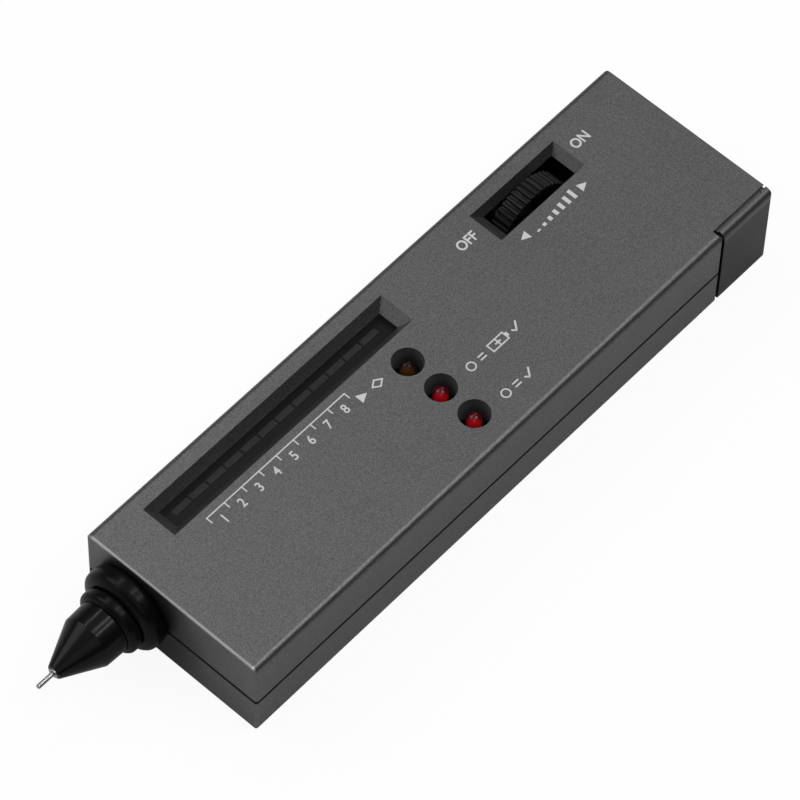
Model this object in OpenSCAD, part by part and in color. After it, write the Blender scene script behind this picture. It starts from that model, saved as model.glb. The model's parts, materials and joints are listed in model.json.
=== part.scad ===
// Handheld thermal probe tester: a flat two-part case with a bar display, three lamps,
// a thumbwheel volume control, a sliding battery cover and a spring-loaded needle probe.
// X runs along the case with the probe towards -X, Y across it, Z up from the resting face.

/* [Case] */
// Length of the case from front face to rear face
case_l = 135; // [132:1:145]
// Thickness of the side and end walls
wall = 1.4; // [1.2:0.1:1.8]
// Thickness of the top plate
top_t = 1.5; // [1.3:0.1:2]
// Thickness of the floor
floor_t = 1.3; // [1:0.1:2]
// Radius along the two long top edges
top_r = 1.45; // [0.6:0.05:1.8]
// Radius along the two long bottom edges
foot_r = 0.4; // [0.2:0.1:0.8]
// Radius along the lower rear edge
rear_foot_r = 1; // [0.4:0.1:1.2]
// Radius of the four upright edges
edge_r = 0.6; // [0.3:0.1:1]
// Height of the line where the two halves meet
part_z = 8.9; // [8.4:0.1:9.4]
// Height of the shadow groove along that line
groove_h = 0.75; // [0.3:0.05:0.9]
// Thickness of the lip that lines up the two halves
lip_t = 0.65; // [0.4:0.05:0.8]
// Height of that lip above the groove
lip_h = 1; // [0.6:0.1:1.5]
// Clearance between parts that are assembled and stay put
fit_gap = 0.1; // [0.05:0.05:0.2]

/* [Battery] */
// Length of the battery block without its terminals
bat_l = 45.6; // [44:0.1:46.4]
// Width of the battery block
bat_w = 26; // [24.5:0.1:26.5]
// Thickness of the battery block
bat_h = 16.8; // [15.5:0.1:17.5]
// Radius of the battery's long edges
bat_r = 2; // [1:0.1:3]
// Height of the battery's terminals
terminal_h = 2.6; // [2:0.1:3]
// Distance between the two terminals
terminal_pitch = 12.7; // [12:0.1:13.4]
// Clearance around the battery
bat_gap = 0.2; // [0.1:0.05:0.4]
// Thickness of the wall beside the battery bay
partition_t = 0.65; // [0.5:0.05:1]

/* [Battery cover] */
// Length of the cover along the case
cover_l = 13.15; // [10:0.05:16]
// Gap between the cover's front edge and the case
cover_front_gap = 0.85; // [0.4:0.05:1]
// Gap between the cover's sides and the case
cover_gap = 0.55; // [0.3:0.05:0.8]
// How far the plate above the cover stands in from the right side
plate_in = 2.25; // [2.15:0.05:2.8]
// Thickness of the two guide tongues of the cover
tongue_t = 0.4; // [0.3:0.05:0.5]
// Depth that each tongue reaches into the case
tongue_d = 0.5; // [0.3:0.05:0.7]
// Running clearance around each tongue
tongue_gap = 0.1; // [0.05:0.01:0.15]
// How far the seal in front of the cover stands in from the outside
seal_in = 0.5; // [0.4:0.05:0.7]
// Number of finger grooves under the cover
grip_count = 5; // [3:1:6]

/* [Display] */
// Distance from the front face to the display recess
slot_front = 10.1; // [9.5:0.1:12]
// Length of the display recess
slot_l = 60.6; // [58:0.1:62]
// Width of the display recess
slot_w = 7.6; // [7:0.05:8.6]
// Distance from the left side to the display recess
slot_side = 3.8; // [3:0.05:4.5]
// Depth of the display recess
slot_depth = 1.75; // [1.6:0.05:1.9]
// How far the ends of the recess slope inwards
slot_ramp = 2.2; // [1:0.1:2.6]
// How far the sides of the recess slope inwards
slot_lean = 1.6; // [0.8:0.05:1.8]
// Thickness of the rims round the recesses and the lamp holes
well_t = 1; // [0.8:0.1:1.2]
// Thickness of the smoked window
window_t = 1.2; // [0.8:0.1:1.6]
// How far the window laps behind the rim of its recess
window_lap = 0.9; // [0.6:0.1:1]

/* [Bar lamps] */
// Gap between two bar lamps
bar_gap = 0.4; // [0.3:0.05:1]
// Width of a bar lamp
bar_w = 1.25; // [0.8:0.05:1.6]
// Height of a bar lamp above the board
bar_h = 7.95; // [7.5:0.05:8.2]
// Distance from the front of the recess to the first bar lamp
bar_lead = 4.3; // [3.8:0.1:5]
// Distance from the last bar lamp to the end of the recess
bar_tail = 4.5; // [3.8:0.1:5]
// Distance from the left side to the centre line of the bar
bar_side = 6.9; // [6.6:0.1:7.6]
// How far the bar lamps stand above their holder
bar_proud = 0.2; // [0.1:0.05:0.4]

/* [Signal lamps] */
// Distance from the front face to the row of signal lamps
lamp_front = 63.5; // [62:0.1:66]
// Distance from the left side to the first signal lamp
lamp_side = 16.7; // [16:0.1:17.2]
// Distance from one signal lamp to the next
lamp_pitch = 7.85; // [7.6:0.05:8.2]
// Radius of a lamp hole
lamp_hole_r = 3; // [2.6:0.1:3.2]
// Radius of a lamp dome
lamp_r = 1.5; // [1.2:0.1:1.6]
// Depth of the dome's centre below the top face
lamp_sink = 2; // [1.6:0.1:3]

/* [Thumbwheel] */
// Distance from the rear face to the wheel's axis
wheel_rear = 29.85; // [28.5:0.05:31]
// Width of the wheel
wheel_w = 3.7; // [3.2:0.1:4]
// Gap between the wheel and the sides of its slot
wheel_side_gap = 1.975; // [1.6:0.025:2.2]
// Gap between the wheel and the ends of its slot
wheel_end_gap = 1.95; // [1.4:0.05:2.4]
// How far the wheel stands above the top face
wheel_proud = 0.3; // [0:0.1:0.8]
// Gap between the wheel and the floor
wheel_floor_gap = 0.4; // [0.3:0.1:1]
// Distance from the left side to the wheel slot
wheel_slot_side = 3.9; // [3.6:0.05:4.4]
// Depth of the slopes of the wheel slot
wheel_slot_depth = 1.75; // [1.6:0.05:1.9]
// How far the front end of the wheel slot slopes inwards
wheel_ramp = 2.45; // [1.4:0.05:2.6]
// How far the rear end of the wheel slot slopes inwards
wheel_rear_ramp = 1.65; // [1:0.05:2.2]
// How far the right side of the wheel slot slopes inwards
wheel_lean = 0.9; // [0.5:0.05:1.3]
// How far the left side of the wheel slot slopes inwards
wheel_left_lean = 1.15; // [0.5:0.05:1.3]
// Number of ridges on the wheel
ridge_count = 44; // [36:1:52]
// Height of a ridge
ridge_h = 0.4; // [0.2:0.05:0.6]
// Radius of the control's shaft
shaft_r = 1.5; // [1.4:0.1:1.8]
// Running clearance of the shaft
shaft_gap = 0.05; // [0.02:0.01:0.1]

/* [Probe] */
// Distance from the left side to the probe's axis
probe_side = 10.9; // [10.4:0.1:11.4]
// Radius of the first, larger ring of the collar
ring1_r = 8.6; // [8.2:0.1:9.2]
// Length of the first ring
ring1_l = 4.3; // [4:0.05:4.4]
// Radius that the first ring bulges with
ring1_bulge = 2.6; // [2.4:0.1:3.4]
// Radius of the second ring
ring2_r = 6.65; // [6.4:0.05:6.8]
// Length of the second ring
ring2_l = 2.55; // [2.4:0.05:2.6]
// Radius that the second ring bulges with
ring2_bulge = 1.75; // [1.7:0.05:2.4]
// How far each ring's bulge sits behind its middle
ring_shift = 0.3; // [0:0.05:0.3]
// Length of the notch between the rings
ring_notch = 0.15; // [0.1:0.05:0.3]
// Radius of the cone where it leaves the collar
cone_root_r = 5.46; // [5.3:0.02:5.7]
// Radius of the cone where its taper starts
cone_break_r = 5.3; // [5.2:0.1:5.5]
// Length of the cone's straight part
cone_straight = 4.4; // [4:0.1:4.8]
// Length of the cone's taper
cone_taper = 8.05; // [7.6:0.05:9]
// Radius of the cone's tip
cone_tip_r = 1.46; // [1.4:0.02:1.7]
// Length of needle that stands out of the cone
needle_out = 4; // [3:0.1:5]
// Radius of the needle
needle_r = 0.45; // [0.35:0.01:0.5]
// Travel of the needle
needle_travel = 1.2; // [0.8:0.1:1.4]
// Running clearance of the needle and its plunger
needle_gap = 0.05; // [0.02:0.01:0.1]
// Turns of the probe spring
spring_turns = 7; // [5:1:8]
// Radius of the spring wire
spring_wire_r = 0.2; // [0.15:0.01:0.24]

/* [Electronics] */
// Thickness of the circuit board
board_t = 1.6; // [1.2:0.1:1.8]
// Radius of the case screws
screw_r = 1.1; // [1:0.05:1.3]
// Radius of the case screws' heads
screw_head_r = 2; // [1.8:0.1:2.2]
// Depth of the recess below each case screw
screw_recess = 3.5; // [2.5:0.1:4.5]
// Radius of the insulation of the battery leads
lead_r = 0.6; // [0.4:0.05:0.7]

/* [Hidden] */
bar_count = 12;
BAR_NAMES = [for (i = [1:bar_count]) str("bar_lamp_", i < 10 ? "0" : "", i)];
$fn = 64;
cut = 1;

// The battery sets the height, and the battery beside the wheel slot sets the width
case_h = floor_t + 2*bat_gap + bat_h + top_t;
wheel_slot_w = wheel_w + 2*wheel_side_gap;
case_w = wall + 2*bat_gap + bat_w + partition_t + wheel_slot_w + wheel_slot_side;
front_x = -case_l/2;
rear_x = case_l/2;
left_y = case_w/2;
inner_top = case_h - top_t;
inner_front = front_x + wall;
inner_rear = rear_x - wall;
inner_y = left_y - wall;
groove_low = part_z - groove_h/2;
groove_high = part_z + groove_h/2;

// Battery and its connector
bat_rear = inner_rear - bat_gap;
bat_front = bat_rear - bat_l;
bat_y0 = -inner_y + bat_gap;
bat_y1 = bat_y0 + bat_w;
bat_z = floor_t + bat_gap;
bat_mid_y = bat_y0 + bat_w/2;
bat_mid_z = bat_z + bat_h/2;
stud_r = 2.8;
cup_r = 4;
cup_wall = 0.9;
snap_t = 2;
snap_in = 1;
snap_rear = bat_front - terminal_h - fit_gap;
snap_front = snap_rear - snap_t;
lead_bend = 2;

// Rear end: the cover takes the battery's side, and the case keeps the other side
partition_y = bat_y1 + bat_gap;
bay_y = partition_y + partition_t;
cover_front = rear_x - cover_l;
case_end = cover_front - cover_front_gap;
cover_y = partition_y - cover_gap/2;
plate_y = left_y - plate_in;
cover_lip_y = plate_y + cover_gap;
top_tongue_z = case_h - top_t/2;
floor_tongue_z = floor_t/2;
grip_pitch = 1.6;
grip_r = 0.45;
grip_l = 18;

// Display and lamps, from the top face down to the board
slot_x0 = front_x + slot_front;
slot_x1 = slot_x0 + slot_l;
slot_y1 = left_y - slot_side;
slot_y0 = slot_y1 - slot_w;
SLOT_SLOPES = [slot_ramp, slot_ramp, slot_lean, slot_lean];
window_z1 = case_h - slot_depth;
window_z0 = window_z1 - window_t;
board_z1 = window_z0 - fit_gap - bar_h;
board_z0 = board_z1 - board_t;
bar_pitch = (slot_l - bar_lead - bar_tail + bar_gap)/bar_count;
bar_y = left_y - bar_side;
holder_rim = 2.8;
holder_w = 4.6;
lamp_x = front_x + lamp_front;
lamp_z = case_h - lamp_sink;
lamp_body_l = 3.8;
lamp_rim = 0.4;
lamp_leg_r = 0.25;
lamp_leg_pitch = 1.27;

// Thumbwheel and its control
wheel_x = rear_x - wheel_rear;
wheel_r = (case_h + wheel_proud - floor_t - wheel_floor_gap)/2;
wheel_z = case_h + wheel_proud - wheel_r;
wheel_slot_y1 = left_y - wheel_slot_side;
wheel_slot_y0 = wheel_slot_y1 - wheel_slot_w;
wheel_y = wheel_slot_y0 + wheel_slot_w/2;
wheel_slot_half = wheel_r + wheel_end_gap;
wheel_foot_z = case_h - wheel_slot_depth;
WHEEL_SLOPES = [wheel_ramp, wheel_rear_ramp, wheel_lean, wheel_left_lean];
wheel_slot_x0 = wheel_x - wheel_slot_half;
wheel_slot_x1 = wheel_x + wheel_slot_half;
wheel_rim_t = 1.9;
wheel_web_t = 1.4;
hub_r = 3.4;
pot_gap = 0.8;
pot_w = 10;
pot_y0 = wheel_y + wheel_w/2 + pot_gap;
pot_y1 = inner_y - fit_gap;
pot_head = 3.3;
pot_top = inner_top - pot_head;
pot_foot = 2.9;
pot_z0 = floor_t + pot_foot;
pot_front = wheel_x - pot_w/2;
pot_bush_r = 2.8;
pot_bush_l = 0.5;
pot_pin_l = 4;
pot_pin_w = 0.6;
pot_pin_t = 0.25;
pot_pin_pitch = 0.85;
shaft_grip = 2.4;
shaft_l = wheel_w + pot_gap + shaft_grip;
wheel_screw_r = 0.8;
wheel_screw_l = 6;
wheel_screw_head_r = 2.4;
wheel_screw_head_t = 0.9;

// Probe, measured forwards from the front face along its axis
probe_y = left_y - probe_side;
probe_z = case_h/2;
collar_back_t = 1.5;
neck_r = 6.6;
back_r = 7.6;
holder_r = 4.2;
holder_end_l = 1.7;
holder_nose = 3.5;
notch_r = 5.9;
collar_l = ring1_l + ring_notch + ring2_l;
cone_break = collar_l + cone_straight;
cone_end = cone_break + cone_taper;
cone_wall = 1.6;
cone_step = 0.5;
cone_rim = 0.2;
holder_front = collar_l + holder_nose;
holder_back = -wall - collar_back_t - holder_end_l;
holder_flange_r = 5.6;
holder_flange_t = 1.15;
bore_r = 2.3;
stop_t = 2;
stop_gap = 0.3;
stop_d = holder_front - stop_t;
stop_r = needle_r + stop_gap;
plunger_r = bore_r - 2*needle_gap;
plunger_t = 1.9;
plunger_d = stop_d - needle_gap;
plug_front = -wall;
bush_r = 1;
bush_l = 3.9;
bush_d = cone_end - bush_l;
heater_r = 1.15;
heater_gap = 0.3;
heater_d = holder_front + needle_travel + heater_gap;
heater_l = bush_d - heater_gap - heater_d;
bush_out = 0.3;
needle_tip = cone_end + needle_out;
needle_point = 0.15;
needle_point_r = 0.3;
plug_pin_r = 0.35;
plug_pin_l = 1.6;
plug_pin_pitch = 2;
spring_gap = 0.25;
spring_r = bore_r - spring_wire_r - spring_gap;

// Circuit board outline, its posts and the case screws
board_edge_gap = 0.5;
board_lead_in = 3;
board_snap_gap = 1.2;
hole_gap = 0.2;
board_y1 = inner_y - board_edge_gap;
board_x0 = inner_front + board_lead_in;
board_x1 = snap_front - board_snap_gap;
strip_y0 = pot_y0 + 4*fit_gap;
strip_x1 = pot_front - fit_gap;
boss_r = 2.4;
boss_foot_r = 2.9;
boss_in = 4.4;
boss_gap = 0.4;
boss_clear = boss_r + boss_gap;
boss_y = left_y - boss_in;
front_boss_x = inner_front + collar_back_t + holder_flange_t + boss_gap + boss_foot_r;
mid_boss_in = 5;
CASE_BOSSES = [[front_boss_x, boss_y], [front_boss_x, -boss_y], [board_x1 - mid_boss_in, -boss_y],
    [(case_end + inner_rear)/2, (bay_y + inner_y)/2]];
boss_seat = board_z0 - hole_gap;
pilot_l = 7;
screw_head_t = 1.6;
screw_head_gap = 0.3;
drive_w = 0.5;
post_r = 2.2;
post_screw_r = 0.75;
post_head_r = 1.8;
post_head_t = 1.2;
post_depth = 4.5;
post_front = 15.5;
post_rear = 9;
POST_SIDES = [33, 18.5, 28, 14.5];
BOARD_POSTS = [for (i = [0:3])
    [i < 2 ? front_x + post_front : board_x1 - post_rear, left_y - POST_SIDES[i]]];
notch_y = probe_y - back_r;
notch_l = 9;
notch_x = inner_front + notch_l;
probe_lead_reach = 1.6;

// What stands on the board, placed from the front face and the left side
chip_pitch = 2.54;
chip_w = 6.4;
chip_t = 3.2;
chip_leg_h = 0.6;
chip_leg_w = 0.5;
chip_leg_t = 0.6;
driver_front = 39;
driver_side = 18.5;
driver_pairs = 9;
amplifier_front = 38;
amplifier_side = 29.5;
amplifier_pairs = 4;
buzzer_front = 25;
buzzer_side = 29.5;
buzzer_r = 6;
buzzer_h = 6.5;
buzzer_hole_r = 1;
buzzer_ring = [2.2, 5.2];
buzzer_ring_d = 0.4;
capacitor_front = 52;
capacitor_side = 33;
capacitor_r = 3.15;
capacitor_h = 7;
capacitor_bead = 1.3;
capacitor_edge = 0.3;
trimmer_front = 51;
trimmer_side = 26;
trimmer_w = 6.6;
trimmer_h = 3.4;
trimmer_dial_r = 2;
trimmer_dial_h = 0.6;

// Shared shapes

module box(p, q) translate(p) cube(q - p);

// A bar along X with the outer edges of the case rounded
module case_bar(x0, x1, z0, z1) intersection() {
    translate([x0, 0, 0]) rotate([90, 0, 90]) linear_extrude(x1 - x0) difference() {
        translate([-left_y, z0]) square([case_w, z1 - z0]);
        for (s = [-1, 1]) {
            edge_cut([s*(left_y - top_r), case_h - top_r], top_r, [s, 1]);
            edge_cut([s*(left_y - foot_r), foot_r], foot_r, [s, -1]);
        }
    }
    linear_extrude(case_h + cut) difference() {
        translate([front_x, -left_y]) square([case_l, case_w]);
        for (sx = [-1, 1], sy = [-1, 1])
            edge_cut([sx*(case_l/2 - edge_r), sy*(left_y - edge_r)], edge_r, [sx, sy]);
    }
    translate([0, left_y, 0]) rotate([90, 0, 0]) linear_extrude(case_w) difference() {
        translate([front_x, 0]) square([case_l, case_h]);
        edge_cut([rear_x - rear_foot_r, rear_foot_r], rear_foot_r, [1, -1]);
    }
}

// What is left of a square corner outside its rounding
module edge_cut(centre, r, side) translate(centre) difference() {
    translate([side[0] < 0 ? -r - cut : 0, side[1] < 0 ? -r - cut : 0]) square(r + cut);
    circle(r);
}

// A shape seen along Y or along X, drawn from its outline
module across(y0, y1) translate([0, y1, 0]) rotate([90, 0, 0]) linear_extrude(y1 - y0) children();
module along(x0, x1) translate([x0, 0, 0]) rotate([90, 0, 90]) linear_extrude(x1 - x0) children();

// The room of a recess in the top plate: its ends and sides slope down to a foot.
// How far each slopes is listed as front, rear, right and left
module recess_room(x0, x1, y0, y1, foot_z, slopes) intersection() {
    across(y0, y1) polygon(slope_outline(x0, x1, slopes[0], slopes[1], foot_z));
    along(x0, x1) polygon(slope_outline(y0, y1, slopes[2], slopes[3], foot_z));
}
function slope_outline(a0, a1, in0, in1, foot_z) = [[a0 + in0, foot_z - cut], [a1 - in1, foot_z - cut],
    [a1 - in1, foot_z], [a1, case_h], [a1, case_h + cut], [a0, case_h + cut], [a0, case_h],
    [a0 + in0, foot_z]];

// The rim under the top plate that ends such a recess
module recess_rim(x0, x1, y0, y1, foot_z, slopes) box(
    [x0 + slopes[0] - well_t, y0 + slopes[2] - well_t, foot_z],
    [x1 - slopes[1] + well_t, y1 - slopes[3] + well_t, inner_top + fit_gap]);

// A bar along X with four rounded edges
module rounded_bar(x0, x1, y0, y1, z0, z1, r)
    translate([x0, 0, 0]) rotate([90, 0, 90]) linear_extrude(x1 - x0) {
        translate([y0 + r, z0]) square([y1 - y0 - 2*r, z1 - z0]);
        translate([y0, z0 + r]) square([y1 - y0, z1 - z0 - 2*r]);
        for (y = [y0 + r, y1 - r], z = [z0 + r, z1 - r]) translate([y, z]) circle(r);
    }

// The crossed slot in a screw's head of that radius, cut upwards from the face at zero
module cross_slot(head_r, depth) for (a = [0, 90]) rotate(a)
    translate([-head_r*0.6, -drive_w/2, -cut]) cube([head_r*1.2, drive_w, cut + depth]);

// Places a revolved piece of the probe: its height runs forwards from the front face
module on_probe() translate([front_x, probe_y, probe_z]) rotate([0, -90, 0]) children();

// Places a turned piece on the wheel's axis: its height runs along +Y from the wheel's middle
module on_wheel() translate([wheel_x, wheel_y, wheel_z]) rotate([-90, 0, 0]) children();

// Places a piece on the board by its distances from the front face and the left side
module on_board(front, side) translate([front_x + front, left_y - side, board_z1]) children();

// Places a piece at each point of a list
module at_each(points, z) for (p = points) translate([p[0], p[1], z]) children();

// Section of a ring that bulges outwards
module ring_section(r, bulge, d0, d1) intersection() {
    translate([r - bulge, (d0 + d1)/2 - ring_shift]) circle(bulge);
    translate([holder_r, d0]) square([r, d1 - d0]);
}

// Tube through a list of centre points
function unit(v) = v/norm(v);
function heading(pts, i) = unit(pts[min(i + 1, len(pts) - 1)] - pts[max(i - 1, 0)]);
function ring_at(p, dir, aside, r, sides) = let (u = unit(cross(dir, aside)), v = cross(dir, u))
    [for (k = [0:sides - 1]) p + r*(cos(360*k/sides)*u + sin(360*k/sides)*v)];
module tube(pts, r, sides, aside) {
    n = len(pts);
    rings = [for (i = [0:n - 1]) each ring_at(pts[i], heading(pts, i), aside(pts[i]), r, sides)];
    walls = [for (i = [0:n - 2], k = [0:sides - 1]) let (a = i*sides, j = (k + 1) % sides)
        each [[a + k, a + sides + k, a + sides + j], [a + k, a + sides + j, a + j]]];
    first = [for (k = [1:sides - 2]) [0, k, k + 1]];
    last = [for (k = [1:sides - 2]) let (a = (n - 1)*sides) [a, a + k + 1, a + k]];
    polyhedron(rings, concat(first, walls, last));
}

// Smooth curve through a few route points
function curve_point(p, i, t) =
    let (a = p[max(i - 1, 0)], b = p[i], c = p[i + 1], d = p[min(i + 2, len(p) - 1)])
    0.5*(2*b + (c - a)*t + (2*a - 5*b + 4*c - d)*t*t + (3*b - a - 3*c + d)*t*t*t);
function curve(p, steps) = concat([for (i = [0:len(p) - 2], s = [0:steps - 1])
    curve_point(p, i, s/steps)], [p[len(p) - 1]]);
module lead(route, r) tube(curve(route, 4), r, 8, function (p) [0.2, 1, 0.1]);

// Case

module upper_case() color("dimgray") difference() {
    union() {
        difference() {
            case_bar(front_x, rear_x, groove_high, case_h);
            case_inside(0, inner_top);
            lip_space(lip_t + fit_gap, 0, part_z + lip_h + fit_gap);
            cover_room(inner_top);
            box([case_end, -case_w, 0], [rear_x + cut, -plate_y, case_h + cut]);
            box([case_end, -case_w, top_tongue_z - tongue_t/2 - tongue_gap],
                [rear_x + cut, -plate_y + tongue_d + tongue_gap, top_tongue_z + tongue_t/2 + tongue_gap]);
        }
        recess_rim(slot_x0, slot_x1, slot_y0, slot_y1, window_z1, SLOT_SLOPES);
        recess_rim(wheel_slot_x0, wheel_slot_x1, wheel_slot_y0, wheel_slot_y1, wheel_foot_z, WHEEL_SLOPES);
        box([wheel_slot_x0, partition_y, groove_high],
            [case_end + 2*fit_gap, bay_y, inner_top + fit_gap]);
        for (i = [0:2]) at_lamp(i) translate([0, 0, lamp_z - lamp_body_l])
            cylinder(r = lamp_hole_r + well_t, h = inner_top - lamp_z + lamp_body_l + fit_gap);
        at_each(CASE_BOSSES, boss_seat) cylinder(r = boss_r, h = inner_top - boss_seat + fit_gap);
    }
    recess_room(slot_x0, slot_x1, slot_y0, slot_y1, window_z1, SLOT_SLOPES);
    recess_room(wheel_slot_x0, wheel_slot_x1, wheel_slot_y0, wheel_slot_y1, wheel_foot_z, WHEEL_SLOPES);
    for (i = [0:2]) at_lamp(i) translate([0, 0, board_z1]) cylinder(r = lamp_hole_r, h = case_h);
    at_each(CASE_BOSSES, boss_seat - cut) cylinder(r = screw_r, h = pilot_l + cut);
    collar_hole();
}

module lower_case() color("dimgray") difference() {
    union() {
        difference() {
            case_bar(front_x, rear_x, 0, groove_low);
            case_inside(floor_t, case_h);
            cover_room(case_h);
        }
        lip_space(lip_t, groove_low - fit_gap, part_z + lip_h);
        box([bat_front, partition_y, floor_t - fit_gap], [case_end + 2*fit_gap, bay_y, groove_low]);
        at_each(CASE_BOSSES, 0) cylinder(r = boss_foot_r, h = boss_seat);
        at_each(BOARD_POSTS, floor_t - fit_gap) cylinder(r = post_r, h = board_z0 - floor_t + fit_gap);
    }
    box([case_end - cut, partition_y - cut, floor_tongue_z - tongue_t/2 - tongue_gap],
        [rear_x + cut, partition_y + tongue_d + tongue_gap, floor_tongue_z + tongue_t/2 + tongue_gap]);
    at_each(CASE_BOSSES, -cut) {
        cylinder(r = screw_head_r + screw_head_gap, h = screw_recess + cut);
        cylinder(r = screw_r + hole_gap, h = case_h);
    }
    at_each(BOARD_POSTS, board_z0 - post_depth) cylinder(r = post_screw_r, h = case_h);
    collar_hole();
}

module battery_cover() color([0.2, 0.2, 0.2]) difference() {
    union() {
        difference() {
            case_bar(cover_front, rear_x, 0, case_h);
            box([case_end, -inner_y, floor_t], [inner_rear, case_w, case_h + cut]);
            box([case_end, -cover_lip_y, inner_top - bat_gap], [rear_x + cut, case_w, case_h + cut]);
            box([case_end, cover_y, -cut], [rear_x + cut, case_w, case_h + cut]);
        }
        box([cover_front, -cover_lip_y - fit_gap, top_tongue_z - tongue_t/2],
            [rear_x - 2*fit_gap, -plate_y + tongue_d, top_tongue_z + tongue_t/2]);
        box([cover_front, cover_y - fit_gap, floor_tongue_z - tongue_t/2],
            [inner_rear, partition_y + tongue_d, floor_tongue_z + tongue_t/2]);
    }
    for (i = [0:grip_count - 1])
        translate([cover_front + cover_l/2 + (i - (grip_count - 1)/2)*grip_pitch, bat_mid_y, 0])
            rotate([90, 0, 0]) cylinder(r = grip_r, h = grip_l, center = true);
}

// The seal on the end of the case, in the gap in front of the cover
module cover_seal() color([0.06, 0.06, 0.06]) difference() {
    box([case_end, seal_in - left_y, seal_in], [cover_front - fit_gap, cover_y, inner_top + seal_in]);
    box([case_end - cut, -inner_y, floor_t], [rear_x, case_w, case_h]);
}

// The hollow of the case in front of the cover, and beside it on the left
module case_inside(z0, z1) {
    box([inner_front, -inner_y, z0], [case_end + fit_gap, inner_y, z1]);
    box([case_end - cut, bay_y, z0], [inner_rear, inner_y, z1]);
}

// What the cover takes from the rear of the case
module cover_room(z1) box([case_end, -case_w, -cut], [rear_x + cut, partition_y, z1]);

// The lip round the hollow, or the rebate that it stands in
module lip_space(t, z0, z1) difference() {
    union() {
        box([inner_front - t, -inner_y - t, z0], [case_end, inner_y + t, z1]);
        box([case_end - cut, bay_y, z0], [inner_rear + t, inner_y + t, z1]);
    }
    case_inside(z0 - cut, z1 + cut);
}

module collar_hole() on_probe() translate([0, 0, -wall - cut]) cylinder(r = neck_r, h = wall + 2*cut);

module at_lamp(i) translate([lamp_x, left_y - lamp_side - i*lamp_pitch, 0]) children();

// Display and lamps

module display_window() color([0.08, 0.07, 0.07]) box(
    [slot_x0 + slot_ramp - window_lap, slot_y0 + slot_lean - window_lap, window_z0],
    [slot_x1 - slot_ramp + window_lap, slot_y1 - slot_lean + window_lap, window_z1]);

module bar_lamp(i) color([0.25, 0.24, 0.23])
    translate([slot_x0 + bar_lead + i*bar_pitch, bar_y - bar_w/2, board_z1])
        cube([bar_pitch - bar_gap, bar_w, bar_h]);

// The block that the bar lamps stand in
module bar_holder() color([0.1, 0.1, 0.1]) difference() {
    box([slot_x0 + bar_lead - holder_rim, bar_y - holder_w/2, board_z1],
        [slot_x1 - bar_tail + holder_rim, bar_y + holder_w/2, board_z1 + bar_h - bar_proud]);
    for (i = [0:bar_count - 1])
        translate([slot_x0 + bar_lead + i*bar_pitch - fit_gap/2, bar_y - bar_w/2 - fit_gap/2, 0])
            cube([bar_pitch - bar_gap + fit_gap, bar_w + fit_gap, case_h]);
}

module signal_lamp(i, tint) color(tint) at_lamp(i) {
    translate([0, 0, lamp_z]) sphere(lamp_r);
    translate([0, 0, lamp_z - lamp_body_l]) cylinder(r = lamp_r, h = lamp_body_l);
    translate([0, 0, lamp_z - lamp_body_l]) cylinder(r = lamp_r + lamp_rim, h = 2*lamp_rim);
    for (s = [-1, 1]) translate([s*lamp_leg_pitch, 0, board_z1])
        cylinder(r = lamp_leg_r, h = lamp_z - lamp_body_l - board_z1 + lamp_rim);
}
module alert_lamp() signal_lamp(0, [0.35, 0.16, 0.05]);
module battery_lamp() signal_lamp(1, [0.6, 0.03, 0.05]);
module ready_lamp() signal_lamp(2, [0.6, 0.03, 0.05]);

// Thumbwheel and its control

function ridge(i, a, r) = let (t = 360*(i + a)/ridge_count) [r*cos(t), r*sin(t)];
module volume_wheel() color([0.1, 0.1, 0.1]) on_wheel() difference() {
    translate([0, 0, -wheel_w/2]) linear_extrude(wheel_w) polygon([for (i = [0:ridge_count - 1])
        each [ridge(i, 0, wheel_r - ridge_h), ridge(i, 0.2, wheel_r), ridge(i, 0.6, wheel_r),
            ridge(i, 0.8, wheel_r - ridge_h)]]);
    for (s = [-1, 1]) translate([0, 0, s*wheel_w/2]) difference() {
        cylinder(r = wheel_r - wheel_rim_t, h = wheel_w - wheel_web_t, center = true);
        cylinder(r = hub_r, h = wheel_w, center = true);
    }
    translate([0, 0, -wheel_w]) cylinder(r = shaft_r, h = 2*wheel_w);
}

module volume_shaft() color("goldenrod") on_wheel() difference() {
    translate([0, 0, -wheel_w/2]) cylinder(r = shaft_r, h = shaft_l);
    translate([0, 0, -wheel_w/2 - cut])
        cylinder(r = wheel_screw_r, h = wheel_screw_l - wheel_screw_head_t + cut);
}

module wheel_screw() color("silver") on_wheel()
    translate([0, 0, -wheel_w/2 - wheel_screw_head_t]) difference() {
        union() {
            cylinder(r = wheel_screw_head_r, h = wheel_screw_head_t);
            cylinder(r = wheel_screw_r, h = wheel_screw_l);
        }
        cross_slot(wheel_screw_head_r, wheel_screw_head_t/2);
    }

module potentiometer() color([0.25, 0.22, 0.18]) difference() {
    union() {
        box([pot_front, pot_y0, pot_z0], [pot_front + pot_w, pot_y1, pot_top]);
        on_wheel() translate([0, 0, wheel_w/2 + pot_gap - pot_bush_l])
            cylinder(r = pot_bush_r, h = pot_bush_l + fit_gap);
        for (i = [0:2])
            translate([pot_front - pot_pin_l, strip_y0 + pot_pin_w/2 + i*pot_pin_pitch, board_z1])
                cube([pot_pin_l + fit_gap, pot_pin_w, pot_pin_t]);
    }
    on_wheel() cylinder(r = shaft_r + shaft_gap, h = shaft_l - wheel_w/2 + fit_gap);
}

// Circuit board and what it carries

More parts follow.
